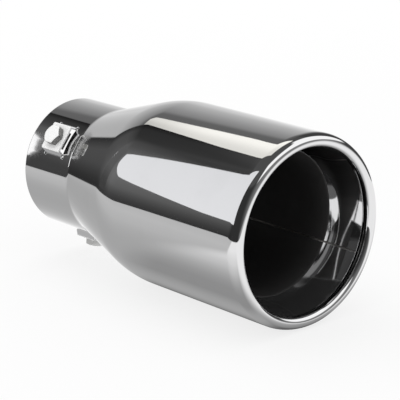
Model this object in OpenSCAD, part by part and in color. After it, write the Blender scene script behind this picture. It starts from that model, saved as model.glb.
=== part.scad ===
// Round exhaust tip: a polished shell with a rolled lip, welded on to a slip-on
// inlet tube that clamps a tail pipe with three screws.
// The tip lies along X. The origin is the centre of the inlet's open end and the
// mouth faces +X.

/* [Shell] */
// Length from the inlet's end to the front of the lip
tip_len = 187; // [180:1:230]
// Outside diameter of the body
body_d = 100; // [96:1:112]
// Length of the straight body, with its lip
body_len = 92; // [60:1:98]
// Outside radius of the bend from the body into the shoulder
shoulder_r = 67; // [30:1:80]
// Thickness of the shell's sheet
shell_wall = 1.2; // [0.8:0.1:1.6]

/* [Rolled lip] */
// Outside radius of the first, wide bend of the lip
lip_bend_r = 10; // [6:0.5:14]
// Angle that the first bend turns through
lip_bend_turn = 30; // [15:1:40]
// Outside radius of the roll
lip_roll_r = 3; // [2.4:0.1:4]
// Angle from straight ahead at which the rolled edge ends
lip_roll_end = 215; // [190:1:240]

/* [Inlet tube] */
// Inside diameter of the tube, which slides over the tail pipe
bore_d = 70; // [66:0.5:76]
// Thickness of the tube's wall
tube_wall = 1.2; // [1:0.1:1.6]
// Length of the bare neck, from the inlet's end to the weld
neck_len = 38; // [36:1:48]
// Distance from the mouth back to the tube's flared edge
tube_setback = 24.5; // [15:0.5:40]
// Length of the flare at the tube's front end
flare_len = 12; // [6:0.5:16]
// Growth in radius along the flare
flare_rise = 3; // [1:0.5:4]
// Gap round the neck that the polished weld fills
weld_gap = 0.05; // [0.02:0.01:0.1]

/* [Clamps] */
// Turn of the first clamp from straight up, towards -Y
clamp_clock = 52.8; // [0:0.1:119]
// Distance from the inlet's end to the screws
clamp_x = 23; // [18:0.5:26]
// Width of a bridge along the tube
bridge_len = 15; // [12:0.5:18]
// Width of a bridge's flat top, round the tube
bridge_top_w = 15.5; // [14:0.5:17]
// Run of each end wall of a bridge, outwards from its flat top
bridge_run = 1.2; // [0.8:0.1:2]
// Radius of the relief hole at each end of the sheared edges
relief_r = 0.8; // [0.6:0.1:1.2]

/* [Screws and nuts] */
// Diameter of the screw's thread
screw_d = 6; // [5:1:6]
// Width of the screw's head and of the square nut, across the flats
flats_w = 10; // [9:0.5:11]
// Height of the screw's head
head_h = 4; // [3:0.1:5]
// Slope of the chamfer on the screw's head
head_slope = 30; // [20:1:35]
// Thickness of the thin square nut
nut_h = 3.2; // [2.8:0.1:4]
// Length of the chamfer on the screw's tip
tip_chamfer = 0.5; // [0.3:0.1:0.8]
// Height of the screw's tip above the bore
tip_clear = 0.15; // [0.1:0.05:0.5]
// Radial clearance of the thread in its nut
thread_gap = 0.05; // [0.03:0.01:0.1]
// Radial clearance of the screw in its bridge
hole_gap = 0.3; // [0.2:0.1:0.5]
// Play of the nut between the tail pipe and its bridge, on each side
nut_play = 0.05; // [0.03:0.01:0.2]

/* [Hidden] */
$fn = 96;
// Clamps evenly spaced round the neck
clamp_count = 3;
// Steps along each bend of a profile
bend_steps = 8;
roll_steps = 24;
// Length by which a cut runs past the face that it opens
overcut = 1;

body_r = body_d / 2;
bore_r = bore_d / 2;
neck_r = bore_r + tube_wall;
seat_r = neck_r + weld_gap;

// Shoulder: the cone is the tangent from the weld to the bend's circle. The bend is no
// wider than the share bend_share of the one that would reach down to the weld by itself.
bend_share = 0.8;
bend_x = tip_len - body_len;
seat_run = bend_x - neck_len;
seat_drop = body_r - seat_r;
full_bend_r = (seat_run * seat_run + seat_drop * seat_drop) / (2 * seat_drop);
bend_r = min(shoulder_r, bend_share * full_bend_r);
bend_c = body_r - bend_r;
seat_rise = seat_r - bend_c;
cone_angle = asin(bend_r / norm([seat_run, seat_rise])) - atan2(seat_rise, seat_run);

// Lip: two bends in a row, the second rolled back into the mouth
lip_c = body_r - lip_bend_r;
lip_x = tip_len - lip_roll_r - (lip_bend_r - lip_roll_r) * sin(lip_bend_turn);
roll_c = lip_c + (lip_bend_r - lip_roll_r) * cos(lip_bend_turn);
roll_x = tip_len - lip_roll_r;

// Flare: one bend that starts along the tube
flare_angle = 2 * atan(flare_rise / flare_len);
flare_r = flare_len / sin(flare_angle);
flare_x = tip_len - tube_setback - flare_len;

// Clamp: heights above the tube's axis, and the bridge's half widths
nut_z = bore_r + nut_play;
bridge_z = nut_z + nut_h + nut_play + tube_wall;
top_half = bridge_top_w / 2;
foot_half = top_half + bridge_run;
window_half = foot_half - tube_wall / 2;
wall_mid_r = bore_r + tube_wall / 2;
screw_r = screw_d / 2;

// Points [radius, x] of a bend with radius r, from angle a to angle b
function bend(c, x, r, a, b, steps) =
    [for (i = [0 : steps]) let (t = a + (b - a) * i / steps) [c + r * cos(t), x + r * sin(t)]];

function reversed(points) = [for (i = [len(points) - 1 : -1 : 0]) points[i]];

// Height of a circle of radius r above the tube's axis, y to its side
function height_on(r, y) = sqrt(r * r - y * y);

// One side of the shell's sheet, inset from its outside, from the shoulder to the lip
function shell_side(inset) = concat(
    bend(bend_c, bend_x, bend_r - inset, -cone_angle, 0, bend_steps),
    bend(lip_c, lip_x, lip_bend_r - inset, 0, lip_bend_turn, bend_steps),
    bend(roll_c, roll_x, lip_roll_r - inset, lip_bend_turn, lip_roll_end, roll_steps));

// Where one side of the cone comes down to the seat on the neck
function seat_point(inset) =
    let (top = shell_side(inset)[0])
    [seat_r, top[1] - (top[0] - seat_r) / tan(cone_angle)];

// One side of the tube's flare, from the straight tube to its front edge
function flare_side(inset) =
    [for (p = bend(-neck_r - flare_r, flare_x, flare_r + inset, 0, flare_angle, bend_steps))
        [-p[0], p[1]]];

module turned_along_x(points) {
    rotate([0, 90, 0]) rotate_extrude() polygon(points);
}

// Places a child at clamp i, with Z pointing outwards from the tube's axis
module at_clamp(i) {
    rotate([clamp_clock + i * 360 / clamp_count, 0, 0]) translate([clamp_x, 0, 0]) children();
}

module outer_shell() {
    color([0.80, 0.80, 0.80])
    turned_along_x(concat(
        [seat_point(0)], shell_side(0),
        reversed(shell_side(shell_wall)), [seat_point(shell_wall)]));
}

// Section of a bridge: a flat top and two steep end walls that run into the tube
module bridge_section() {
    right = [
        [top_half, bridge_z],
        [foot_half, height_on(neck_r, foot_half)],
        [foot_half, height_on(wall_mid_r, foot_half)],
        [foot_half - tube_wall, height_on(wall_mid_r, foot_half - tube_wall)],
        [top_half - tube_wall, bridge_z - tube_wall]];
    polygon(concat(right, [for (p = reversed(right)) [-p[0], p[1]]]));
}

module bridge() {
    rotate([90, 0, 90]) linear_extrude(bridge_len, center = true) bridge_section();
}

// The opening that a bridge leaves in the tube's wall
module bridge_window() {
    wall_top = neck_r + overcut;
    translate([-bridge_len / 2, -window_half, 0]) cube([bridge_len, 2 * window_half, wall_top]);
}

module bridge_holes() {
    cylinder(h = bridge_z + overcut, r = screw_r + hole_gap);
    for (x = [-bridge_len / 2, bridge_len / 2], y = [-foot_half, foot_half])
        translate([x, y, 0]) cylinder(h = neck_r + overcut, r = relief_r);
}

module inlet_tube() {
    color([0.74, 0.74, 0.74])
    difference() {
        union() {
            difference() {
                turned_along_x(concat(
                    [[neck_r, 0]], flare_side(0),
                    reversed(flare_side(tube_wall)), [[bore_r, 0]]));
                for (i = [0 : clamp_count - 1]) at_clamp(i) bridge_window();
            }
            for (i = [0 : clamp_count - 1]) at_clamp(i) bridge();
        }
        for (i = [0 : clamp_count - 1]) at_clamp(i) bridge_holes();
    }
}

module clamp_nut(i) {
    color([0.66, 0.66, 0.64])
    at_clamp(i) translate([0, 0, nut_z]) difference() {
        translate([-flats_w / 2, -flats_w / 2, 0]) cube([flats_w, flats_w, nut_h]);
        translate([0, 0, -overcut]) cylinder(h = nut_h + 2 * overcut, r = screw_r + thread_gap);
    }
}

// Hexagon head, with two corners along the tube and its top edge chamfered
module screw_head() {
    chamfer_r = flats_w / 2;
    intersection() {
        cylinder(h = head_h, r = flats_w / sqrt(3), $fn = 6);
        cylinder(h = head_h, r1 = chamfer_r + head_h / tan(head_slope), r2 = chamfer_r);
    }
}

module clamp_screw(i) {
    tip_z = bore_r + tip_clear;
    color([0.86, 0.86, 0.85])
    at_clamp(i) union() {
        translate([0, 0, bridge_z]) screw_head();
        translate([0, 0, tip_z + tip_chamfer])
            cylinder(h = bridge_z - tip_z, r = screw_r);
        translate([0, 0, tip_z])
            cylinder(h = tip_chamfer, r1 = screw_r - tip_chamfer, r2 = screw_r);
    }
}

outer_shell();
inlet_tube();
for (i = [0 : clamp_count - 1]) {
    clamp_nut(i);
    clamp_screw(i);
}
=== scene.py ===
"""Looks of a round exhaust tip: polished shell, inlet tube, clamps and a studio around them."""
import math

import bpy
import numpy as np
from bpy.props import FloatProperty, FloatVectorProperty, IntProperty, PointerProperty
from mathutils import Matrix


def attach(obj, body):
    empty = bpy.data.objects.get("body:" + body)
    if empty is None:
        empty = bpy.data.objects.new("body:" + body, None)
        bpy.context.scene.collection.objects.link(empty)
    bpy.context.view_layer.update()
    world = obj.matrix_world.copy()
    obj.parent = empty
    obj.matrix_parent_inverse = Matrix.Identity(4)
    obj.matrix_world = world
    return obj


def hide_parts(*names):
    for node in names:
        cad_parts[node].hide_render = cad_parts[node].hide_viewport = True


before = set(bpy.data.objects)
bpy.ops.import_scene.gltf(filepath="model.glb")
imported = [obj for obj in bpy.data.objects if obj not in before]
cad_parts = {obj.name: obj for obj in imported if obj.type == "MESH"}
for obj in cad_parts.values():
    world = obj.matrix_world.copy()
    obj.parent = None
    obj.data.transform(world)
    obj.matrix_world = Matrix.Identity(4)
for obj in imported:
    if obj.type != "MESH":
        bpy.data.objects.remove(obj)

bl_info = {
    "name": "Exhaust tip looks",
    "version": (1, 0, 0),
    "blender": (4, 5, 0),
    "location": "3D View > Sidebar > Exhaust Tip",
    "description": "Dresses the packed exhaust tip and builds its studio",
    "category": "Object",
}

MM = 0.001
LENGTH = {"unit": "LENGTH", "subtype": "DISTANCE"}
TURN = {"unit": "ROTATION", "subtype": "ANGLE"}


def length(name, description, millimetres):
    return FloatProperty(name=name, description=description, default=millimetres * MM, min=0.0,
                         precision=5, **LENGTH)


def turn(name, description, degrees):
    return FloatProperty(name=name, description=description, default=math.radians(degrees), **TURN)


def colour(name, description, rgb):
    return FloatVectorProperty(name=name, description=description, default=rgb, size=3,
                               min=0.0, max=1.0, subtype="COLOR")


def share(name, description, default):
    return FloatProperty(name=name, description=description, default=default, min=0.0, max=1.0,
                         subtype="FACTOR")


# Sizes and colours


class ShellSizes(bpy.types.PropertyGroup):
    """Sizes of the outer shell"""
    tip_length: length("Tip length", "From the inlet's end to the front of the lip", 187)
    body_radius: length("Body radius", "Outside radius of the straight body", 50)
    body_length: length("Body length", "Straight body with its lip", 92)
    shoulder_radius: length("Shoulder bend", "Outside radius of the bend into the shoulder", 67)
    seat_radius: length("Seat radius", "Where the shoulder comes down to the neck", 36.25)
    wall: length("Sheet thickness", "Thickness of the shell's sheet", 1.2)
    lip_bend: length("Lip bend", "Outside radius of the first bend of the lip", 10)
    lip_turn: turn("Lip turn", "Angle that the first bend turns through", 30)
    lip_roll: length("Lip roll", "Outside radius of the rolled edge", 3)
    roll_end: turn("Roll end", "Angle from straight ahead at which the rolled edge ends", 215)
    polished_from: length("Polished from", "Where the sheet's inside begins to be polished", 170)
    fillet: length("Weld run", "Reach of the weld along the neck and the shoulder", 1.15)


class TubeSizes(bpy.types.PropertyGroup):
    """Sizes of the inlet tube and its bridges"""
    neck_radius: length("Neck radius", "Outside radius of the tube", 36.2)
    wall: length("Wall", "Thickness of the tube's wall", 1.2)
    neck_length: length("Neck length", "From the inlet's end to the weld", 38)
    flare_start: length("Flare start", "Where the front flare begins", 150.5)
    flare_length: length("Flare length", "Length of the flare at the front end", 12)
    flare_rise: length("Flare rise", "Growth in radius along the flare", 3)
    liner_bend: length("Liner bend", "Length over which the liner bends back to its cone", 7)
    liner_end: length("Liner end", "Front edge of the liner, from the inlet's end", 180.5)
    liner_edge_radius: length("Liner edge radius", "Inside radius of the liner's front edge", 43.96)
    seam_clock: turn("Seam clock", "Turn of the welded seam from straight up towards -Y", 244)
    seam_width: length("Seam width", "Width of the welded seam", 1.0)
    seam_height: length("Seam height", "Height of the welded seam", 0.12)
    bridge_length: length("Bridge length", "Width of a bridge along the tube", 15)
    bridge_top: length("Bridge top", "Width of a bridge's flat top round the tube", 15.5)
    bridge_foot: length("Bridge foot", "Width of a bridge where it meets the tube", 17.9)
    bridge_height: length("Bridge height", "Height of a bridge's top above the tube's axis", 39.5)
    bridge_bend: length("Bridge bend", "Radius of the bends at a bridge's top", 1.1)
    foot_bend: length("Foot bend", "Radius and run of the bends at a bridge's feet", 0.9)
    relief: length("Relief radius", "Radius of the holes at the ends of the sheared edges", 0.8)


class ClampSizes(bpy.types.PropertyGroup):
    """Sizes and places of the clamp screws"""
    clock: turn("Clamp clock", "Turn of the first clamp from straight up towards -Y", 52.8)
    along: length("Clamp place", "From the inlet's end to the screws", 23)
    count: IntProperty(name="Clamps", description="Clamps round the neck", default=3, min=1)
    flats: length("Across flats", "Width of the screw's head across the flats", 10)
    head_height: length("Head height", "Height of the screw's head", 4)
    head_slope: turn("Head slope", "Slope of the chamfer on the head", 30)
    thread_radius: length("Thread radius", "Outside radius of the thread", 3)
    pitch: length("Thread pitch", "Distance from one thread crest to the next", 1)
    tip_height: length("Tip height", "Height of the screw's tip above the tube's axis", 35.15)


class Finishes(bpy.types.PropertyGroup):
    """Colours of the metals"""
    steel: colour("Polished steel", "Colour of the polished sheet", (0.80, 0.80, 0.805))
    # Near-black colour of the unpolished insides of the sheets
    near_black_inside: colour("Dull inside", "Colour of the dull inside of the sheets", (0.040, 0.039, 0.039))
    scuff: colour("Scuffs", "Colour of the scuffs inside", (0.16, 0.155, 0.15))
    weld: colour("Weld", "Colour of the bare weld seams", (0.42, 0.41, 0.40))
    zinc: colour("Bright zinc", "Colour of the screws", (0.86, 0.86, 0.85))
    # Painted shade: dark copy of the zinc for the flats of the first screw's head
    flats: colour("Screw flats", "Colour of the flats of the screws' heads", (0.22, 0.22, 0.215))
    # Painted highlight: near-white, not metal, for bridge tops and screw tops
    painted_highlight_white: colour("Painted highlight white", "Colour of bridge tops and screw tops", (0.98, 0.98, 0.975))
    nut_zinc: colour("Dull zinc", "Colour of the nuts", (0.66, 0.66, 0.64))


class Studio(bpy.types.PropertyGroup):
    """Light, floor and camera"""
    floor_colour: colour("Floor", "Colour of the floor", (0.93, 0.93, 0.93))
    world_level: share("World light", "Strength of the even light on everything", 0.78)
    lamp_power: FloatProperty(name="Lamp power", description="Power of the large soft lamp",
                              default=9.0, min=0.0, unit="POWER")
    floor_white: share("Floor white", "Share of plain white in the floor that the camera sees", 0.8)
    lens: FloatProperty(name="Lens", description="Focal length of the camera in millimetres",
                        default=149.8, min=1.0)


# Shader maths


def maths(operation, swapped=False):
    """Operator of an expression: it adds one Math node, with its two values swapped if asked"""
    def add_node(self, *others):
        values = (self, *others)[::-1] if swapped else (self, *others)
        return self.nodes.add("ShaderNodeMath", {"operation": operation}, dict(enumerate(values)))
    return add_node


class Term:
    """A socket in an expression: its operators add Math nodes"""

    def __init__(self, nodes, socket):
        self.nodes = nodes
        self.socket = socket

    __add__, __radd__ = maths("ADD"), maths("ADD", True)
    __sub__, __rsub__ = maths("SUBTRACT"), maths("SUBTRACT", True)
    __mul__, __rmul__ = maths("MULTIPLY"), maths("MULTIPLY", True)
    __pow__ = maths("POWER")
    sine = maths("SINE")
    # Angle whose tangent is this over the other
    turn_of = maths("ARCTAN2")

    def between(self, low, high):
        """0 below low, 1 above high and a smooth step in between"""
        return self.nodes.add("ShaderNodeMapRange", {"interpolation_type": "SMOOTHSTEP"},
                              {"Value": self, "From Min": low, "From Max": high}, "Result")


class Nodes:
    """Node tree of a material or a world, built from expressions"""

    def __init__(self, owner):
        owner.use_nodes = True
        self.tree = owner.node_tree

    def add(self, kind, settings=None, values=None, output=0):
        """Adds one node: its settings first, then the values or links of its sockets"""
        node = self.tree.nodes.new(kind)
        for name, setting in (settings or {}).items():
            setattr(node, name, setting)
        for name, value in (values or {}).items():
            self.put(node.inputs[name], value)
        return Term(self, node.outputs[output])

    def put(self, socket, value):
        if isinstance(value, Term):
            self.tree.links.new(value.socket, socket)
        else:
            socket.default_value = value

    def place(self):
        return self.add("ShaderNodeTexCoord", output="Object")

    def split(self, vector):
        node = self.add("ShaderNodeSeparateXYZ", values={0: vector}).socket.node
        return [Term(self, socket) for socket in node.outputs]

    def join(self, x, y, z):
        return self.add("ShaderNodeCombineXYZ", values={0: x, 1: y, 2: z})

    def noise(self, vector, scale, detail=2.0, rough=0.5):
        return self.add("ShaderNodeTexNoise", values={
            "Vector": vector, "Scale": scale, "Detail": detail, "Roughness": rough}, output="Fac")

    def blend(self, amount, first, second):
        """Mixes two colours, in the node's sockets for colours: inputs 6 and 7 and output 2"""
        first, second = (c if isinstance(c, Term) else (*c, 1.0) for c in (first, second))
        return self.add("ShaderNodeMix", {"data_type": "RGBA"},
                        {0: amount, 6: first, 7: second}, 2)

    def bump(self, height, distance):
        return self.add("ShaderNodeBump", values={"Height": height, "Distance": distance})


class Shader(Nodes):
    """Node tree of a new material"""

    def __init__(self, name):
        self.material = bpy.data.materials.new(name)
        super().__init__(self.material)
        self.surface = self.tree.nodes["Principled BSDF"]

    def finish(self, **values):
        """Sets the surface's own sockets, underscores in a name standing for spaces"""
        for name, value in values.items():
            if isinstance(value, tuple):
                value = (*value, 1.0)
            self.put(self.surface.inputs[name.replace("_", " ")], value)
        return self.material


# Finishes


def scaled(rgb, by):
    return tuple(c * by for c in rgb)


def round_the_axis(s):
    """Place on the object, its x, y and z, and its turn round X from +Z towards +Y"""
    place = s.place()
    x, y, z = s.split(place)
    return place, x, y, z, y.turn_of(z)


def buffing(s, x, clock, fineness):
    """Buffing lines: noise that is fine along the axis and drawn out round it"""
    return s.noise(s.join(x * fineness, clock * 3.0, 0.0), 1.0, 3.0, 0.6)


def beside_clamps(x, clock):
    """Where the polishing wheel can't reach, close behind a clamp: the cosine of the turn from
    the first one times their number is near 1, and x is short of about 49 mm"""
    clamps = scene_groups().clamps
    turns = (clock * float(clamps.count) + (clamps.count * clamps.clock + math.pi / 2)).sine()
    return turns.between(0.58, 0.86) * (1.0 - x.between(45 * MM, 53 * MM))


def polished_steel(name, rgb, blur, missed=0.0):
    """Mirror-polished sheet: faint buffing lines round the axis, smears, specks and slight waves,
    and less polish beside the clamps by missed"""
    s = Shader(name)
    place, x, y, z, clock = round_the_axis(s)
    lines = buffing(s, x, clock, 2600.0)
    smears = s.noise(place, 42.0, 3.0, 0.55).between(0.5, 0.78)
    specks = s.noise(place, 900.0, 1.0).between(0.72, 0.8)
    waves = s.noise(place, 26.0, 1.0)
    tint = smears * 0.25 + lines * 0.2 + specks * 0.3
    return s.finish(
        Base_Color=s.blend(tint, rgb, scaled(rgb, 0.88)), Metallic=1.0,
        Roughness=blur + smears * 0.035 + lines * 0.02 + beside_clamps(x, clock) * missed,
        Normal=s.bump(waves + lines * 0.004, 0.04 * MM))


def polish_edge(x, y, clock):
    """Distance past the polished zone's edge, x = middle - slant cos(2 (turn - peak)) with the
    turn towards -Y, and the side towards -Y that the zone is on"""
    middle, slant, peak = 160.5 * MM, 1.5 * MM, math.radians(64)
    wave = (clock * 2.0 + (2 * peak + math.pi / 2)).sine()
    return x + wave * slant - middle, 1.0 - y.between(-1.0 * MM, 1.0 * MM)


def darkened_zones(x, y, z):
    """Where the front of the inside is darkened: its upper part on the side towards -Y, and its
    lowest part, which is also given by itself"""
    past_tube = x - 163 * MM
    upper = (z - y * 0.36 - past_tube * 0.9).between(-1.0 * MM, 1.0 * MM)
    upper = upper * (1.0 - y.between(14.0 * MM, 30.0 * MM))
    lowest = 1.0 - z.between(-33.5 * MM, -32.0 * MM)
    return upper + lowest * (1.0 - upper), lowest


def dull_inside(name, polish=None):
    """Unpolished inside of a sheet, dark, with scuffs along and across; polish is the colour of
    a polished zone at its front end, which has a satin band along its edge"""
    s = Shader(name)
    place, x, y, z, clock = round_the_axis(s)
    long_scuffs = s.noise(s.join(x * 40.0, clock * 26.0, 0.0), 1.0, 5.0, 0.62).between(0.64, 0.8)
    cross_scuffs = s.noise(s.join(x * 300.0, clock * 3.0, 4.0), 1.0, 4.0, 0.6).between(0.66, 0.82)
    patches = s.noise(place, 30.0, 3.0).between(0.35, 0.75)
    worn = long_scuffs * 0.35 + cross_scuffs * 0.25 + patches * 0.10
    colours = scene_groups().finishes
    # Near-black base, lighter where scuffed
    base, metal, rough = s.blend(worn, colours.near_black_inside, colours.scuff), 0.55, 0.55 - worn * 0.3
    if polish is not None:
        past, side = polish_edge(x, y, clock)
        satin = 1.0 - past.between(0.55 * MM, 0.75 * MM)
        darkened, lowest_darkened = darkened_zones(x, y, z)
        # In the darkened zones the polish is taken off but for the satin band, and wholly on the
        # lowest part
        bright = past.between(0.0, 0.15 * MM) * side * (1.0 - (1.0 - satin) * darkened)
        bright = bright * (1.0 - lowest_darkened)
        base = s.blend(bright, base, polish)
        metal = bright * (1.0 - metal) + metal
        rough = rough + bright * (satin * 0.33 + 0.03 - rough)
    return s.finish(
        Base_Color=base, Metallic=metal, Roughness=rough, Specular_IOR_Level=0.3,
        Normal=s.bump(long_scuffs + patches, 0.03 * MM))


def polished_liner(name, rgb, blur, joint):
    """Mirror-polished liner, its colour darkened over the upper part of its side towards -Y, less
    so at its front, and darkened and made less metallic on its lowest part"""
    s = Shader(name)
    place, x, y, z, clock = round_the_axis(s)
    lines = buffing(s, x, clock, 2200.0)
    smears = s.noise(place, 60.0, 3.0, 0.55).between(0.5, 0.75)
    darkened, lowest_darkened = darkened_zones(x, y, z)
    front = (x - joint).between(8.0 * MM, 10.0 * MM)
    clean = s.blend(smears * 0.3 + lines * 0.2, rgb, scaled(rgb, 0.85))
    # Near-black over the darkened zones, less dark at the front, and dark on the lowest part
    dark = s.blend(front, scaled(rgb, 0.07), scaled(rgb, 0.26))
    dark = s.blend(lowest_darkened, dark, scaled(rgb, 0.15))
    return s.finish(
        Base_Color=s.blend(darkened, clean, dark), Metallic=1.0 - lowest_darkened * 0.25,
        Roughness=blur + darkened * 0.04 + smears * 0.03 + lines * 0.02,
        Normal=s.bump(s.noise(place, 40.0, 1.0) + lines * 0.004, 0.03 * MM))


def painted_highlight_satin(name, rgb):
    """Bridge tops and screw tops with a painted highlight: near-white and not metal, with a soft
    sheen, fine grain and darker marks
    """
    s = Shader(name)
    place = s.place()
    grain = s.noise(place, 2600.0, 2.0, 0.6)
    marks = s.noise(place, 420.0, 3.0, 0.6).between(0.55, 0.75)
    return s.finish(
        Base_Color=s.blend(marks * 0.2 + grain * 0.06, rgb, scaled(rgb, 0.6)), Metallic=0.0,
        Roughness=0.36 + marks * 0.1, Normal=s.bump(grain * 0.4 + marks, 0.02 * MM))


def zinc_plate(name, rgb, blur):
    """Bright plating: a fine grain, small dents and duller patches"""
    s = Shader(name)
    place = s.place()
    grain = s.noise(place, 2400.0, 2.0, 0.6)
    patches = s.noise(place, 260.0, 3.0).between(0.4, 0.72)
    return s.finish(
        Base_Color=s.blend(patches * 0.35 + grain * 0.15, rgb, scaled(rgb, 0.7)), Metallic=1.0,
        Roughness=blur + patches * 0.1 + grain * 0.05,
        Normal=s.bump(grain * 0.3 + patches, 0.02 * MM))


def weld_metal(name, rgb):
    """Bare weld seam: ripples along the seam and heat-stained patches"""
    s = Shader(name)
    place, x, y, z, clock = round_the_axis(s)
    ripples = (x * 5200.0 + s.noise(place, 300.0) * 3.0).sine() * 0.5 + 0.5
    stains = s.noise(place, 120.0, 3.0).between(0.4, 0.7)
    brown = tuple(c * by for c, by in zip(rgb, (0.62, 0.58, 0.54)))
    return s.finish(
        Base_Color=s.blend(stains * 0.6, rgb, brown), Metallic=1.0,
        Roughness=0.3 + ripples * 0.1, Normal=s.bump(ripples, 0.03 * MM))


# Meshes

# Steps round the axis of the shell, of the liner and the weld, and of a screw
SHELL_AROUND, RING_AROUND, SCREW_AROUND = 360, 288, 96
# Columns of the tube's grid under a bridge and from there to the next, and how many columns
# the sheared edges lie in from a bridge's feet
UNDER, APART, EDGE = 48, 144, 2
# Keeps a division by a length of nought from failing
TINY = 1e-12


def grid_corners(rows, columns, close_rows=False, close_columns=False):
    """Corner numbers of the quads between neighbours of a grid, rows by columns"""
    r = np.arange(rows if close_rows else rows - 1)
    c = np.arange(columns if close_columns else columns - 1)
    r, c = [a.ravel() for a in np.meshgrid(r, c, indexing="ij")]
    r2, c2 = (r + 1) % rows, (c + 1) % columns
    return np.stack([r * columns + c, r2 * columns + c, r2 * columns + c2, r * columns + c2], 1)


def volume(points, quads, triangles):
    """Signed volume of a mesh: a sixth of the sum of a . (b x c) over its triangles"""
    corners = np.concatenate([quads[:, [0, 1, 2]], quads[:, [0, 2, 3]], triangles])
    a, b, c = (points[corners[:, i]] for i in range(3))
    return float((a * np.cross(b, c)).sum()) / 6


def in_scene(name, data):
    one = bpy.data.objects.new(name, data)
    bpy.context.scene.collection.objects.link(one)
    return one


def make_piece(name, points, quads, materials, kinds=None, triangles=None, sharp=35.0,
               outwards=True):
    """Mesh object from points in metres, its faces turned outwards, smooth but for edges past
    sharp; kinds are the faces' materials by number"""
    points = points.reshape(-1, 3)
    triangles = np.zeros((0, 3), int) if triangles is None else triangles
    if outwards and volume(points, quads, triangles) < 0:
        quads, triangles = quads[:, ::-1], triangles[:, ::-1]
    corners = np.concatenate([quads.ravel(), triangles.ravel()])
    sizes = np.concatenate([np.full(len(quads), 4), np.full(len(triangles), 3)])
    mesh = bpy.data.meshes.new(name)
    mesh.vertices.add(len(points))
    mesh.vertices.foreach_set("co", points.astype(np.float32).ravel())
    mesh.loops.add(len(corners))
    mesh.loops.foreach_set("vertex_index", corners.astype(np.int32))
    mesh.polygons.add(len(sizes))
    mesh.polygons.foreach_set("loop_start", (np.cumsum(sizes) - sizes).astype(np.int32))
    mesh.update(calc_edges=True)
    for material in materials:
        mesh.materials.append(material)
    if kinds is not None:
        mesh.polygons.foreach_set("material_index", kinds.astype(np.int32))
    mesh.polygons.foreach_set("use_smooth", np.ones(len(sizes), bool))
    mesh.set_sharp_from_angle(angle=math.radians(sharp))
    if mesh.validate():
        raise RuntimeError(f"{name} has a broken mesh")
    return in_scene(name, mesh)


def bent(a, b, c, t):
    """Bend from a towards b and on to c: (1-t)^2 a + 2t(1-t) b + t^2 c"""
    return (1 - t) ** 2 * a + 2 * t * (1 - t) * b + t ** 2 * c


def arc(centre_x, centre_r, radius, start, end, steps):
    """Points (x, r) of a bend: centre plus radius times (sin t, cos t), t from start to end"""
    t = np.linspace(start, end, steps + 1)
    return np.stack([centre_x + radius * np.sin(t), centre_r + radius * np.cos(t)], 1)


def between_points(a, b, steps):
    """Points on the straight line from a to b, without its ends"""
    t = np.linspace(0, 1, steps + 1)[1:-1, None]
    return a * (1 - t) + b * t


def full_turn(steps):
    return np.linspace(0, 2 * math.pi, steps, endpoint=False)


def turned(x, r, a):
    """Points at x and r turned round the X axis by a: (x, -r sin a, r cos a)"""
    return np.stack([x + 0 * a, -r * np.sin(a), r * np.cos(a)], -1)


def ring_mesh(profile, around):
    """Closed profile (x, r) turned round the X axis: its points and quads, and the number of
    the profile's point that each quad starts at"""
    points = turned(profile[:, 0, None], profile[:, 1, None], full_turn(around))
    quads = grid_corners(len(profile), around, close_rows=True, close_columns=True)
    return points, quads, np.arange(len(quads)) // around


def at_clock(x, sideways, up, clock):
    """Points beside a clamp: up is outwards from the axis, (-sin c, cos c) in (y, z), and
    sideways is towards growing turn, (-cos c, -sin c)"""
    return np.stack([x, -np.cos(clock) * sideways - np.sin(clock) * up,
                     -np.sin(clock) * sideways + np.cos(clock) * up], -1)


def shell_side(p, inset):
    """One side of the shell's sheet as (x, r), from the seat to the end of the rolled lip"""
    bend_x = p.tip_length - p.body_length
    bend_c = p.body_radius - p.shoulder_radius
    rise = p.seat_radius - bend_c
    run = bend_x - scene_groups().tube.neck_length
    cone = math.asin(p.shoulder_radius / math.hypot(run, rise)) - math.atan2(rise, run)
    lip_c = p.body_radius - p.lip_bend
    inner = p.lip_bend - p.lip_roll
    roll_x = p.tip_length - p.lip_roll
    lip_x = roll_x - inner * math.sin(p.lip_turn)
    roll_c = lip_c + inner * math.cos(p.lip_turn)
    bend = arc(bend_x, bend_c, p.shoulder_radius - inset, -cone, 0, 24)
    lip = arc(lip_x, lip_c, p.lip_bend - inset, 0, p.lip_turn, 16)
    roll = arc(roll_x, roll_c, p.lip_roll - inset, p.lip_turn, p.roll_end, 44)
    seat_x = bend[0, 0] - (bend[0, 1] - p.seat_radius) / math.tan(cone)
    seat = np.array([[seat_x, p.seat_radius]])
    return np.concatenate([
        seat, between_points(seat[0], bend[0], 10), bend,
        between_points(bend[-1], lip[0], 24), lip, roll[1:]])


def make_shell():
    """Closed sheet turned round the axis: outside out to the roll's end and inside back"""
    groups = scene_groups()
    p, colours = groups.shell, groups.finishes
    outside, inside = shell_side(p, 0.0), shell_side(p, p.wall)[::-1]
    profile = np.concatenate([outside, inside])
    points, quads, row = ring_mesh(profile, SHELL_AROUND)
    dull = (row >= len(outside)) & (profile[row, 0] < p.polished_from)
    piece = make_piece("shell", points, quads, [
        polished_steel("polished steel", colours.steel, 0.028, 0.17),
        dull_inside("dull sheet inside")], kinds=dull)
    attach(piece, "root")
    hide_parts("outer_shell")


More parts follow.
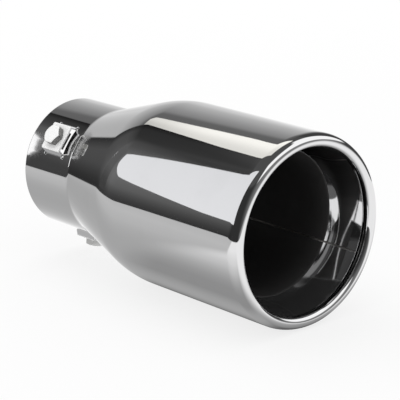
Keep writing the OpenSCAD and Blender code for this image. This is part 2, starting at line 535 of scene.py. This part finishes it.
def smooth_path(corners, radii, turning):
    """Points along lines whose corners are rounded by quadratic bends, each with its place from
    0 to 1, worked out from length and turning, so that bends get more points"""
    parts = [corners[0][None]]
    for before, corner, after, radius in zip(corners, corners[1:], corners[2:], radii):
        back = (before - corner) / np.linalg.norm(before - corner)
        on = (after - corner) / np.linalg.norm(after - corner)
        half = math.acos(float(np.clip(-(back @ on), -1, 1))) / 2
        reach = radius * math.tan(half)
        t = np.linspace(0, 1, 33)[:, None]
        parts.append(bent(corner + back * reach, corner, corner + on * reach, t))
    parts.append(corners[-1][None])
    coarse = np.concatenate(parts)
    between = [between_points(a, b, 6) for a, b in zip(coarse, coarse[1:])]
    fine = np.concatenate([coarse[:1], *between, coarse[-1:]])
    step = np.diff(fine, axis=0)
    angle = np.unwrap(np.arctan2(step[:, 1], step[:, 0]))
    turned = np.abs(np.diff(angle, prepend=angle[0]))
    weight = np.cumsum(np.linalg.norm(step, axis=1) + turned * turning)
    return fine, np.concatenate([[0], weight]) / weight[-1]


def bridge_half(p):
    """Half of a bridge's section as (sideways, height), from its foot to its middle"""
    foot, top = p.bridge_foot / 2, p.bridge_top / 2
    start = foot + p.foot_bend
    corners = np.array([
        [start, math.sqrt(p.neck_radius ** 2 - start ** 2)],
        [foot, math.sqrt(p.neck_radius ** 2 - foot ** 2)],
        [top, p.bridge_height],
        [0.0, p.bridge_height]])
    return smooth_path(corners, [p.foot_bend, p.bridge_bend], 0.9 * MM)


def flare_bend(p):
    """Turn and outside radius of the tube's flare, one bend that starts along the tube"""
    bend_turn = 2 * math.atan(p.flare_rise / p.flare_length)
    return bend_turn, p.flare_length / math.sin(bend_turn)


def tube_rows(p, near, far, ring):
    """Places along the tube, close together at its end, round the bridges' edges and on the
    flare"""
    return np.unique(np.round(np.concatenate([
        np.array([0.0, 0.25, 0.6, 1.2]) * MM, np.linspace(2.5 * MM, near - 2.6 * MM, 7),
        near - ring, near + ring, far - ring, far + ring,
        np.linspace(near + 2.8 * MM, far - 2.8 * MM, 9),
        np.linspace(far + 2.6 * MM, p.neck_length + 1.0 * MM, 5),
        np.linspace(p.neck_length + 5.0 * MM, p.flare_start, 14),
        p.flare_start + np.linspace(0, 1, 13)[1:] * p.flare_length]), 7))


def round_holes(xs, turns, p, edges, corner_turns, reach):
    """Makes circles of the squares round each corner of a bridge: an offset (dx, dy) is
    multiplied by max(|dx|, |dy|) over its length, less so towards reach"""
    for edge in edges:
        for corner_turn in corner_turns:
            dx, dy = xs - edge, (turns - corner_turn) * p.neck_radius
            size = np.maximum(np.abs(dx), np.abs(dy))
            fade = np.clip((reach - size) / (reach - p.relief), 0, 1)
            factor = 1 + (size / (np.hypot(dx, dy) + TINY) - 1) * fade
            xs = np.where(size < reach, edge + dx * factor, xs)
            turns = np.where(size < reach, corner_turn + dy * factor / p.neck_radius, turns)
    return xs, turns


def at_corners(row, column, edges):
    """Which quads are one of the four by four round a bridge's corner, where its relief hole is"""
    reach = range(-EDGE, EDGE)
    return (np.isin(row, [edge + step for edge in edges for step in reach])
            & np.isin(column, [edge + step for edge in (EDGE, UNDER - EDGE) for step in reach]))


def lifted_grid(p, foot_turn, turns):
    """Places of a bridge's points, sideways and up: a turn is read as a place on its section"""
    section, place = bridge_half(p)
    steps = np.arange(UNDER + 1)
    share_in = np.minimum(steps, UNDER - steps) / (UNDER / 2)
    side = np.where(steps <= UNDER / 2, -1.0, 1.0)
    grid_turn = np.linspace(-foot_turn, foot_turn, UNDER + 1)
    return (np.interp(turns, grid_turn, np.interp(share_in, place, section[:, 0]) * side),
            np.interp(turns, grid_turn, np.interp(share_in, place, section[:, 1])))


def make_tube():
    """Tube as a grid of length by turn, lifted to the bridge's section under each bridge, then
    thickened inwards"""
    groups = scene_groups()
    p, clamps, colours = groups.tube, groups.clamps, groups.finishes
    foot_turn = math.asin((p.bridge_foot / 2 + p.foot_bend) / p.neck_radius)
    sectors = full_turn(clamps.count)
    sector = 2 * math.pi / clamps.count
    near, far = clamps.along - p.bridge_length / 2, clamps.along + p.bridge_length / 2
    ring = p.relief * np.array([0, 0.5, 1, 1.5625, 2.375])
    x = tube_rows(p, near, far, ring)
    turn_steps = np.concatenate([
        np.linspace(-foot_turn, foot_turn, UNDER, endpoint=False),
        np.linspace(foot_turn, sector - foot_turn, APART, endpoint=False)])
    # One sector, with a bridge at its start
    xs, turns = np.meshgrid(x, turn_steps, indexing="ij")
    xs, turns = round_holes(xs, turns, p, (near, far), turn_steps[[EDGE, UNDER - EDGE]], ring[-1])
    first, last = (int(np.argmin(np.abs(x - edge))) for edge in (near, far))
    lifted = slice(first, last + 1), slice(0, UNDER + 1)
    sideways, up = lifted_grid(p, foot_turn, turns[lifted])
    bridge = grid_corners(last + 1 - first, UNDER + 1)
    row, column = np.divmod(np.arange(len(bridge)), UNDER)
    between_edges = (column >= EDGE) & (column < UNDER - EDGE)
    bridge = bridge[between_edges & ~at_corners(row, column, (0, last - first))]
    # Painted highlight: the bridge tops get the near-white material
    pale = up.ravel()[bridge].mean(axis=1) > p.bridge_height - 0.6 * MM
    # The whole tube, open under the bridges and at the relief holes
    bend_r = flare_bend(p)[1]
    past = np.clip(x - p.flare_start, 0, None)
    radius = (p.neck_radius + bend_r - np.sqrt(bend_r ** 2 - past ** 2))[:, None]
    around = clamps.clock + np.concatenate([turns + start for start in sectors], axis=1)
    tube = turned(np.tile(xs, clamps.count), radius, around)
    quads = grid_corners(*around.shape, close_columns=True)
    row, column = np.divmod(np.arange(len(quads)), around.shape[1])
    column = column % len(turn_steps)
    opened = (row >= first) & (row < last) & (column >= EDGE) & (column < UNDER - EDGE)
    quads = quads[~(opened | at_corners(row, column, (first, last)))]
    all_points, all_quads = [tube.reshape(-1, 3)], [quads]
    for start in sectors:
        all_quads.append(bridge + sum(len(points) for points in all_points))
        points = at_clock(xs[lifted], sideways, up, clamps.clock + start)
        all_points.append(points.reshape(-1, 3))
    kinds = np.concatenate([np.zeros(len(quads), int), np.tile(pale * 2, clamps.count)])
    quads, points = merged(np.concatenate(all_points), np.concatenate(all_quads))
    dull = dull_inside("dull tube inside", colours.steel)
    # Solidify gives the inner wall the material after the outer wall's own
    piece = make_piece("inlet_tube", points, quads, [
        polished_steel("polished neck", colours.steel, 0.035), dull,
        painted_highlight_satin("painted highlight bridge tops", colours.painted_highlight_white), dull], kinds=kinds)
    solid = piece.modifiers.new("wall", "SOLIDIFY")
    solid.thickness = p.wall
    solid.offset = -1.0
    solid.use_even_offset = True
    solid.material_offset = 1
    solid.material_offset_rim = 0
    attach(piece, "root")
    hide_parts("inlet_tube")


def tube_inside(p):
    """Inside of the tube as (x, r), from behind the bridges to the flare's edge, and the edge's
    slope"""
    bend_turn, bend_r = flare_bend(p)
    t = np.linspace(0, bend_turn, 13)
    inner_r = bend_r + p.wall
    flare = np.stack([p.flare_start + inner_r * np.sin(t),
                      p.neck_radius + bend_r - inner_r * np.cos(t)], 1)
    bore = np.array([[p.neck_length + 24 * MM, p.neck_radius - p.wall]])
    return np.concatenate([bore, between_points(bore[0], flare[0], 20), flare]), math.tan(bend_turn)


def liner_inside(p):
    """Inside of the liner as (x, r): its slope falls from the flare's to the cone's as a half
    cosine, (1 + cos(pi s)) / 2, and then stays"""
    flare, first_slope = tube_inside(p)
    start_x, start_r = flare[-1]
    run = p.liner_end - start_x
    slope = ((p.liner_edge_radius - start_r - 0.5 * first_slope * p.liner_bend)
             / (run - 0.5 * p.liner_bend))
    along = np.concatenate([np.linspace(0, p.liner_bend, 25),
                            np.linspace(p.liner_bend, run, 25)[1:]])
    s = np.clip(along / p.liner_bend, 0, 1)
    # The integral of the slope
    rise = slope * along + (first_slope - slope) * p.liner_bend * (
        s + np.sin(math.pi * s) / math.pi) / 2
    return np.stack([start_x + along, start_r + rise], 1)


def offset_profile(profile, distance):
    """Profile moved along its normals (-r', x'), away from the axis"""
    along = np.gradient(profile, axis=0)
    along /= np.linalg.norm(along, axis=1, keepdims=True)
    return profile + distance * np.stack([-along[:, 1], along[:, 0]], 1)


def make_liner():
    """Polished liner from the tube's flared edge to just behind the lip, as one closed ring"""
    groups = scene_groups()
    p, colours = groups.tube, groups.finishes
    inside = liner_inside(p)
    outside = offset_profile(inside, p.wall)[::-1]
    points, quads, row = ring_mesh(np.concatenate([outside, inside]), RING_AROUND)
    piece = make_piece("flared_liner", points, quads, [
        polished_liner("polished liner", colours.steel, 0.03, float(inside[0, 0])),
        dull_inside("dull liner back")], kinds=row < len(outside))
    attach(piece, "root")


def make_seams():
    """Welded seam inside the tube and the liner: a low bead, height (1 - s^2) over its width,
    closed below by a strip inside the sheet"""
    groups = scene_groups()
    p = groups.tube
    material = weld_metal("welded seam", groups.finishes.weld)
    s = np.linspace(-1, 1, 9)
    lift = (1 - s ** 2)[None, :, None]
    for name, profile in (("tube_seam", tube_inside(p)[0]), ("liner_seam", liner_inside(p))):
        ridge = offset_profile(profile, -p.seam_height)
        sunk = offset_profile(profile, 0.3 * MM)
        top = profile[:, None] * (1 - lift) + ridge[:, None] * lift
        bottom = np.broadcast_to(sunk[:, None], top.shape)[:, ::-1]
        x, r = np.moveaxis(np.concatenate([top, bottom], axis=1), -1, 0)
        turns = p.seam_clock + np.concatenate([s, s[::-1]]) * p.seam_width / 2 / r
        rows, columns = x.shape
        k = np.arange(len(s) - 1)
        cap = np.stack([k, k + 1, columns - 2 - k, columns - 1 - k], 1)
        quads = np.concatenate([grid_corners(rows, columns, close_columns=True), cap,
                                (rows - 1) * columns + cap[:, ::-1]])
        piece = make_piece(name, turned(x, r, turns), quads, [material], sharp=50)
        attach(piece, "root")


def make_weld():
    """Hollow weld between the neck and the shoulder, polished with the sheet: one quadratic bend
    between its two tangent points, closed inside the sheets"""
    groups = scene_groups()
    p, colours = groups.shell, groups.finishes
    seat, onward = shell_side(p, 0.0)[:2]
    along = (onward - seat) / np.linalg.norm(onward - seat)
    corner = seat + along * (groups.tube.neck_radius - seat[1]) / along[1]
    a = corner - [p.fillet, 0]
    c = corner + along * p.fillet
    curve = bent(a, corner, c, np.linspace(0, 1, 13)[:, None])
    sunk = [0, 0.4 * MM]
    points, quads, _ = ring_mesh(np.concatenate([curve, [c - sunk, a - sunk]]), RING_AROUND)
    piece = make_piece("neck_weld", points, quads,
                       [polished_steel("polished weld", colours.steel, 0.05)], sharp=60)
    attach(piece, "root")


def merged(points, quads):
    """Joins points that lie on each other and drops those that no face uses"""
    keys = np.round(points / (0.002 * MM)).astype(np.int64)
    _, first, back = np.unique(keys, axis=0, return_index=True, return_inverse=True)
    quads = first[back.ravel()][quads]
    used, new = np.unique(quads, return_inverse=True)
    return new.reshape(quads.shape), points[used]


def rounded(lines, reach, steps):
    """Rings along a profile whose corners are cut back by reach and bent"""
    rings = [lines[0]]
    for before, corner, after, cut in zip(lines, lines[1:], lines[2:], reach):
        def back(other):
            step = other - corner
            return corner + step * (cut / (np.linalg.norm(step, axis=-1, keepdims=True) + TINY))
        rings += [bent(back(before), corner, back(after), t) for t in np.linspace(0, 1, steps + 1)]
    return np.stack(rings + [lines[-1]])


def screw_rings(p, base, a, bend_steps):
    """Rings of a screw as (radius, height) over the turn a, and how many are the thread's. The
    head's radius is its half width over the cosine of the angle to the nearest flat, and the
    thread's falls with its phase, height over pitch less the turn"""
    half = p.flats / 2
    hexagon = np.minimum(half / np.cos(a % (math.pi / 3) - math.pi / 6),
                         half / math.cos(math.pi / 6) - 0.12 * MM)
    crown, top = 0.97 * half, base + p.head_height
    drop = (hexagon - crown) * math.tan(p.head_slope)
    corners = [(p.thread_radius, base), (0.985 * hexagon, base), (hexagon, base + 0.1 * MM),
               (hexagon, top - drop), (crown, top), (0.05 * half, top)]
    lines = [np.stack([radius + 0 * a, height + 0 * a], -1) for radius, height in corners]
    head = rounded(lines, np.array([0.04, 0.04, 0.22, 0.3]) * MM, bend_steps)
    levels = np.linspace(p.tip_height, base, 60)[:, None]
    phase = (levels / p.pitch - a / (2 * math.pi)) % 1.0
    depth = 0.54 * p.pitch * np.abs(2 * phase - 1)
    lead = np.clip((levels - p.tip_height) / (0.5 * MM), 0, 1)
    thread = np.stack([(p.thread_radius - depth) * (0.83 + 0.17 * lead), levels + 0 * a], -1)
    return np.concatenate([thread, head[1:]]), len(thread)


def make_screws():
    """Screws: rings carried out along each clamp's axis and closed by a fan at each end; their tops
    and chamfers get a pale painted highlight, and the flats of the first one a dark painted shade"""
    groups = scene_groups()
    p, colours = groups.clamps, groups.finishes
    a = full_turn(SCREW_AROUND)
    bend_steps = 4
    rings, thread_rows = screw_rings(p, groups.tube.bridge_height, a, bend_steps)
    radius, up = np.moveaxis(rings, -1, 0)
    rows, count = len(rings), rings[..., 0].size
    quads = grid_corners(rows, SCREW_AROUND, close_columns=True)
    ring = np.arange(SCREW_AROUND)
    following = (ring + 1) % SCREW_AROUND
    over = count - SCREW_AROUND
    triangles = np.concatenate([
        np.stack([np.full(SCREW_AROUND, count), ring, following], 1),
        np.stack([np.full(SCREW_AROUND, count + 1), over + following, over + ring], 1)])
    row = np.arange(rows - 1).repeat(SCREW_AROUND)
    # The last two corners' rings are the chamfer and the top, which get the painted highlight
    pale = row >= rows - 1 - 2 * (bend_steps + 1)
    materials = [zinc_plate("bright zinc plate", colours.zinc, 0.1),
                 painted_highlight_satin("painted highlight screw top", colours.painted_highlight_white),
                 zinc_plate("painted shade screw flats", colours.flats, 0.22)]
    for i, clock in enumerate(p.clock + full_turn(p.count)):
        points = at_clock(p.along + radius * np.cos(a), radius * np.sin(a), up, clock)
        poles = points[[0, -1]].mean(axis=1)
        # Painted shade: the flats of the first screw's head get a dark copy of the zinc
        flats = 2 * (row >= thread_rows) if i == 0 else 0 * row
        kinds = np.concatenate([np.where(pale, 1, flats), 0 * ring, 0 * ring + 1])
        piece = make_piece(f"screw_{i + 1}", np.concatenate([points.reshape(-1, 3), poles]), quads,
                           materials, triangles=triangles, kinds=kinds, sharp=50.0)
        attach(piece, "root")
        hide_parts(f"clamp_screw_{i + 1}")


def finish_nuts():
    """The nuts keep their solids and get their plating"""
    groups = scene_groups()
    material = zinc_plate("dull zinc plate", groups.finishes.nut_zinc, 0.3)
    for i in range(groups.clamps.count):
        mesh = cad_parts[f"clamp_nut_{i + 1}"].data
        mesh.materials.clear()
        mesh.materials.append(material)


# Stage

# Middle of the room and the floor along X, height of the floor, and radius of the room
CENTRE_X, FLOOR_Z, ROOM_RADIUS = 0.1, -0.05, 2.5


def smooth(value, low, high):
    """0 below low, 1 above high and 3t^2 - 2t^3 in between"""
    t = np.clip((value - low) / (high - low), 0, 1)
    return t * t * (3 - 2 * t)


def inside_band(value, low, high, edge):
    """1 between low and high, falling to 0 over edge on both sides"""
    return smooth(value, low - edge, low) * (1 - smooth(value, high, high + edge))


def room_level(azimuth, height):
    """Brightness of the room that only polished metal sees, by direction: azimuth 0 to 360
    degrees round from +X towards +Y, height in degrees"""
    back = np.interp(height, [-10, -4, 0, 3, 8, 15.5, 23, 30, 34, 37, 45, 90],
                     [1.12, 0.98, 0.90, 0.82, 0.68, 0.52, 0.43, 0.33, 0.27, 0.15, 0.12, 0.10])
    back = back * (1 - 0.14 * inside_band(azimuth, 134, 146, 5) * (1 - smooth(height, 3, 9)))
    left = (np.interp(azimuth, [174.6, 182, 190, 196, 200, 205, 214, 225, 250],
                      [0.03, 0.085, 0.096, 0.11, 0.15, 0.14, 0.18, 0.15, 0.05])
            * np.interp(height, [-6, -2, 2, 6, 12, 24, 32, 38, 42, 90],
                        [0.3, 0.4, 0.6, 0.85, 1.0, 1.0, 0.9, 0.6, 0.35, 0.8]))
    front = 0.035 + 0.05 * smooth(azimuth, 300, 330)
    right = np.interp(azimuth % 360 + np.where(azimuth < 180, 360, 0),
                      [315, 330, 350, 370, 395, 412, 422, 430],
                      [0.09, 0.15, 0.3, 0.42, 0.45, 0.5, 0.3, 0.06])
    right = right * np.interp(height, [-8, -3, 1, 15, 90], [1.6, 1.4, 0.5, 0.5, 0.6])
    level = back + (left - back) * smooth(azimuth, 173.2, 174.6)
    level = level + (front - level) * smooth(azimuth, 240, 256)
    level = level + (right - level) * smooth(azimuth, 308, 326)
    level = np.where(azimuth < 90, right, level)
    level = level + (0.055 - level) * inside_band(azimuth, 70, 117, 13)
    level = level + (0.085 - level) * smooth(height, 46, 52)
    # A window high up, from ahead to the side towards +Y, its azimuth counted from -Y
    window_azimuth = (azimuth + 90) % 360
    sill = np.interp(window_azimuth, [60, 82, 119, 142, 184], [42, 38, 30, 18, 18])
    window = inside_band(window_azimuth, 66, 184, 6) * inside_band(height, sill, 64, 5)
    return level + (1.15 - level) * window


def floor_level(x, y):
    """Brightness of the floor that polished metal sees, with the tip's shadow and the light under
    the neck painted in: dark beside the tip, rising away
    """
    beside = np.interp(np.abs(y) / MM,
                       [0, 15, 20, 24, 29, 35, 43, 55, 65, 78, 95, 125, 170, 222],
                       [0.10, 0.13, 0.25, 0.36, 0.42, 0.40, 0.32, 0.33, 0.38, 0.48, 0.63, 0.80,
                        0.90, 0.98])
    under_neck = np.interp(y / MM,
                           [-300, -210, -133, -100, -75, -50, -34, -25, -18, -12, -5, 3, 30, 100],
                           [0.58, 0.60, 0.56, 0.50, 0.46, 0.45, 0.47, 0.52, 0.60, 0.70, 0.85,
                            1.02, 1.1, 1.0])
    level = under_neck + (beside - under_neck) * smooth(x, 0.055, 0.095)
    mouth = scene_groups().shell.tip_length
    ahead = np.interp((x - mouth) / MM, [0, 4, 11, 25, 37, 50, 75],
                      [0.28, 0.35, 0.42, 0.60, 0.75, 0.90, 1.0])
    return np.where(x > mouth, np.maximum(level, ahead), level)


def reflected(name, points, quads, level, tint=(1.0, 1.0, 1.0), sampled=True):
    """Glowing sheet that only reflections see, with a brightness for each of its points"""
    s = Shader(name + " light")
    light = s.add("ShaderNodeAttribute", {"attribute_name": "level"}, output="Color")
    s.finish(Base_Color=(0.0, 0.0, 0.0), Roughness=1.0, Specular_IOR_Level=0.0,
             Emission_Color=light, Emission_Strength=1.0)
    if not sampled:
        s.material.cycles.emission_sampling = "NONE"
    piece = make_piece(name, points, quads, [s.material], sharp=180, outwards=False)
    rgba = np.ones((len(piece.data.vertices), 4), np.float32)
    rgba[:, :3] = level.ravel()[:, None] * tint
    layer = piece.data.attributes.new("level", "FLOAT_COLOR", "POINT")
    layer.data.foreach_set("color", rgba.ravel())
    for rays in ("camera", "diffuse", "shadow", "transmission", "volume_scatter"):
        setattr(piece, "visible_" + rays, False)


def make_dome():
    """Inside of a sphere round the tip, its brightness a function of direction"""
    height, azimuth = np.meshgrid(np.linspace(-60, 90, 301),
                                  np.linspace(0, 360, 720, endpoint=False), indexing="ij")
    h, a = np.radians(height), np.radians(azimuth)
    points = np.stack([np.cos(h) * np.cos(a), np.cos(h) * np.sin(a), np.sin(h)], -1)
    reflected("room", ROOM_RADIUS * points, grid_corners(*h.shape, close_columns=True)[:, ::-1],
              room_level(azimuth, height), sampled=False)


def make_floor_card():
    """Rectangle just above the floor, its brightness the floor's out to 0.52 m, then the room's"""
    def spaced(low, high):
        return np.concatenate([np.linspace(low - 0.45, low, 24)[:-1], np.arange(low, high, 0.003),
                               np.linspace(high, high + 0.40, 22)])
    xs, ys = np.meshgrid(spaced(-0.1, 0.28), spaced(-0.13, 0.09), indexing="ij")
    level = floor_level(xs, ys)
    azimuth = np.degrees(np.arctan2(ys, xs - CENTRE_X)) % 360
    past = smooth(np.hypot(xs - CENTRE_X, ys), 0.515, 0.535)
    level = level + (room_level(azimuth, -5.0 + 0 * azimuth) - level) * past
    points = np.stack([xs, ys, FLOOR_Z + 0.1 * MM + 0 * xs], -1)
    reflected("floor card", points, grid_corners(*xs.shape)[:, ::-1], level, sampled=False)


def make_card(name, origin, across, up, low, high, level, tint=(1.0, 1.0, 1.0)):
    """Flat card: origin plus s times across plus t times up, s from 0 to 1 and t from a low to
    a high edge that depend on s; its brightness depends on s and the share of the way up"""
    share_up, s = np.meshgrid(np.linspace(0, 1, 31), np.linspace(0, 1, 61), indexing="ij")
    t = low(s) + (high(s) - low(s)) * share_up
    points = origin + s[..., None] * across + t[..., None] * up
    reflected(name, points, grid_corners(*s.shape), level(s, share_up) + 0 * s, tint)


def make_cards():
    """Softbox and strips that the metal reflects"""
    lower = np.array([
        [-101, 150], [-100, 128], [-96, 110], [-89, 97], [-76, 84], [-55, 69], [-31, 57],
        [-14, 50], [17, 41], [36, 36], [54, 32], [70, 31], [152, 30]]).T * MM
    make_card("softbox", (-0.101, -0.15, 0.0), (0.253, 0, 0), (0, 0, 1),
              lambda s: np.interp(-0.101 + 0.253 * s, *lower), lambda s: 0.33,
              lambda s, t: 0.87 + 0.07 * (1 - t), (0.985, 0.99, 1.01))
    # A strip that only the neck's edge reflects, with a dark flag that hides it from the rest
    edge = np.array([
        [20, -152], [27, -147], [51, -149], [85, -167], [128, -198], [190, -268]]).T * MM
    make_card("side strip", (0, -0.15, 0.02), (0, 0, 0.17), (1, 0, 0),
              lambda s: -0.278, lambda s: np.interp(0.02 + 0.17 * s, *edge), lambda s, t: 1.25)
    make_card("dark flag", (-0.06, -0.085, 0.0), (0, -0.034, 0), (0, 0, 1),
              lambda s: 0, lambda s: 0.135, lambda s, t: 0.06 + 0.06 * smooth(t, 0.1, 0.5))
    make_card("top strip", (-0.113, 0.0, 0.2), (0.25, 0, 0), (0, 1, 0),
              lambda s: np.interp(s, [0, 0.42, 1], [-0.002, -0.020, -0.024]),
              lambda s: np.interp(s, [0, 0.42, 1], [0.034, 0.067, 0.070]),
              lambda s, t: ((0.80 + 0.38 * smooth(s, 0.0, 0.35))
                            * (0.76 + 0.24 * smooth(t, 0.1, 0.8))),
              (1.0, 0.985, 0.93))


def make_floor(p):
    """Round floor; the camera sees it mixed with white, all white far out, and reflections see
    the floor card in its place"""
    r, a = np.meshgrid(np.linspace(0, 1, 60) ** 2 * 2.4 + 0.001, full_turn(96), indexing="ij")
    points = np.stack([CENTRE_X + r * np.cos(a), r * np.sin(a), FLOOR_Z + 0 * r], -1)
    s = Shader("pale floor")
    x, y, z = s.split(s.place())
    far = (((x - CENTRE_X) ** 2.0 + y ** 2.0) ** 0.5).between(0.15, 0.9)
    s.finish(Base_Color=s.blend(s.noise(s.place(), 8.0) * 0.1, p.floor_colour, (0.9, 0.9, 0.9)),
             Roughness=0.9, Specular_IOR_Level=0.0)
    white = ((far * (1.0 - p.floor_white) + p.floor_white)
             * s.add("ShaderNodeLightPath", output="Is Camera Ray"))
    mix = s.add("ShaderNodeMixShader", values={
        0: white, 1: Term(s, s.surface.outputs[0]), 2: s.add("ShaderNodeEmission")})
    s.put(s.tree.nodes["Material Output"].inputs["Surface"], mix)
    floor = make_piece("floor", points, grid_corners(*r.shape, close_columns=True), [s.material],
                       sharp=180, outwards=False)
    floor.visible_glossy = False


def make_world(p):
    """White to the camera and to reflections, and an even light on everything else"""
    world = bpy.data.worlds.new("studio")
    bpy.context.scene.world = world
    w = Nodes(world)
    seen = w.add("ShaderNodeMath", {"operation": "MAXIMUM"}, {
        0: w.add("ShaderNodeLightPath", output="Is Camera Ray"),
        1: w.add("ShaderNodeLightPath", output="Is Glossy Ray")})
    background = w.tree.nodes["Background"].inputs
    w.put(background["Color"], (1.0, 1.0, 1.0, 1.0))
    w.put(background["Strength"], seen * (1.0 - p.world_level) + p.world_level)


def make_lamp(p):
    lamp = in_scene("soft lamp", bpy.data.lights.new("soft lamp", "AREA"))
    lamp.data.shape = "RECTANGLE"
    lamp.data.size, lamp.data.size_y = 1.6, 1.6
    lamp.data.energy = p.lamp_power
    lamp.location = (-0.3, -0.2, 1.5)
    lamp.rotation_euler = (0.13, -0.2, 0.0)
    lamp.visible_glossy = False


def make_camera(p):
    camera = in_scene("camera", bpy.data.cameras.new("camera"))
    camera.data.lens = p.lens
    camera.data.sensor_width = 36.0
    camera.data.clip_start, camera.data.clip_end = 0.05, 20.0
    camera.matrix_world = Matrix((
        (0.665443, -0.208243, 0.716813, 0.732447),
        (0.746449, 0.185644, -0.639023, -0.558941),
        (0.0, 0.960297, 0.278978, 0.243697),
        (0.0, 0.0, 0.0, 1.0)))
    bpy.context.scene.camera = camera


def make_stage():
    """Floor, room, cards, lamp and camera"""
    p = scene_groups().studio
    bpy.context.scene.view_settings.view_transform = "Standard"
    make_floor(p)
    make_dome()
    make_floor_card()
    make_cards()
    make_lamp(p)
    make_world(p)
    make_camera(p)


# Operators, panel and registration


class TipGroups(bpy.types.PropertyGroup):
    """All sizes and colours"""
    shell: PointerProperty(type=ShellSizes, name="Shell", description="Sizes of the shell")
    tube: PointerProperty(type=TubeSizes, name="Tube", description="Sizes of the tube")
    clamps: PointerProperty(type=ClampSizes, name="Clamps", description="Sizes of the clamps")
    finishes: PointerProperty(type=Finishes, name="Finishes", description="Colours of the metals")
    studio: PointerProperty(type=Studio, name="Studio", description="Light, floor and camera")


def scene_groups():
    return bpy.context.scene.exhaust_tip


class MakeShell(bpy.types.Operator):
    """Build the polished outer shell"""
    bl_idname = "exhaust_tip.make_shell"
    bl_label = "Make Shell"

    def execute(self, context):
        make_shell()
        return {"FINISHED"}


class MakeTube(bpy.types.Operator):
    """Build the inlet tube with its bridges"""
    bl_idname = "exhaust_tip.make_tube"
    bl_label = "Make Inlet Tube"

    def execute(self, context):
        make_tube()
        return {"FINISHED"}


class MakeLiner(bpy.types.Operator):
    """Build the polished liner behind the lip"""
    bl_idname = "exhaust_tip.make_liner"
    bl_label = "Make Liner"

    def execute(self, context):
        make_liner()
        return {"FINISHED"}


class MakeSeams(bpy.types.Operator):
    """Build the welded seams and the weld on the neck"""
    bl_idname = "exhaust_tip.make_seams"
    bl_label = "Make Seams"

    def execute(self, context):
        make_seams()
        make_weld()
        return {"FINISHED"}


class MakeClamps(bpy.types.Operator):
    """Build the screws and plate the nuts"""
    bl_idname = "exhaust_tip.make_clamps"
    bl_label = "Make Clamps"

    def execute(self, context):
        make_screws()
        finish_nuts()
        return {"FINISHED"}


class MakeStage(bpy.types.Operator):
    """Build the floor, lights and camera"""
    bl_idname = "exhaust_tip.make_stage"
    bl_label = "Make Stage"

    def execute(self, context):
        make_stage()
        return {"FINISHED"}


class TipPanel(bpy.types.Panel):
    """Lists what the add-on makes"""
    bl_idname = "VIEW3D_PT_exhaust_tip"
    bl_label = "Exhaust Tip"
    bl_space_type = "VIEW_3D"
    bl_region_type = "UI"
    bl_category = "Exhaust Tip"

    def draw(self, context):
        for operator in OPERATORS:
            self.layout.operator(operator.bl_idname)


OPERATORS = (MakeShell, MakeTube, MakeLiner, MakeSeams, MakeClamps, MakeStage)
CLASSES = (ShellSizes, TubeSizes, ClampSizes, Finishes, Studio, TipGroups, *OPERATORS, TipPanel)


def register():
    for one in CLASSES:
        bpy.utils.register_class(one)
    bpy.types.Scene.exhaust_tip = PointerProperty(type=TipGroups)


def unregister():
    del bpy.types.Scene.exhaust_tip
    for one in reversed(CLASSES):
        bpy.utils.unregister_class(one)


def main():
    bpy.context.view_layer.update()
    register()
    bpy.ops.exhaust_tip.make_shell()
    bpy.ops.exhaust_tip.make_tube()
    bpy.ops.exhaust_tip.make_liner()
    bpy.ops.exhaust_tip.make_seams()
    bpy.ops.exhaust_tip.make_clamps()
    bpy.ops.exhaust_tip.make_stage()
    bpy.context.view_layer.update()


if __name__ == "__main__":
    main()
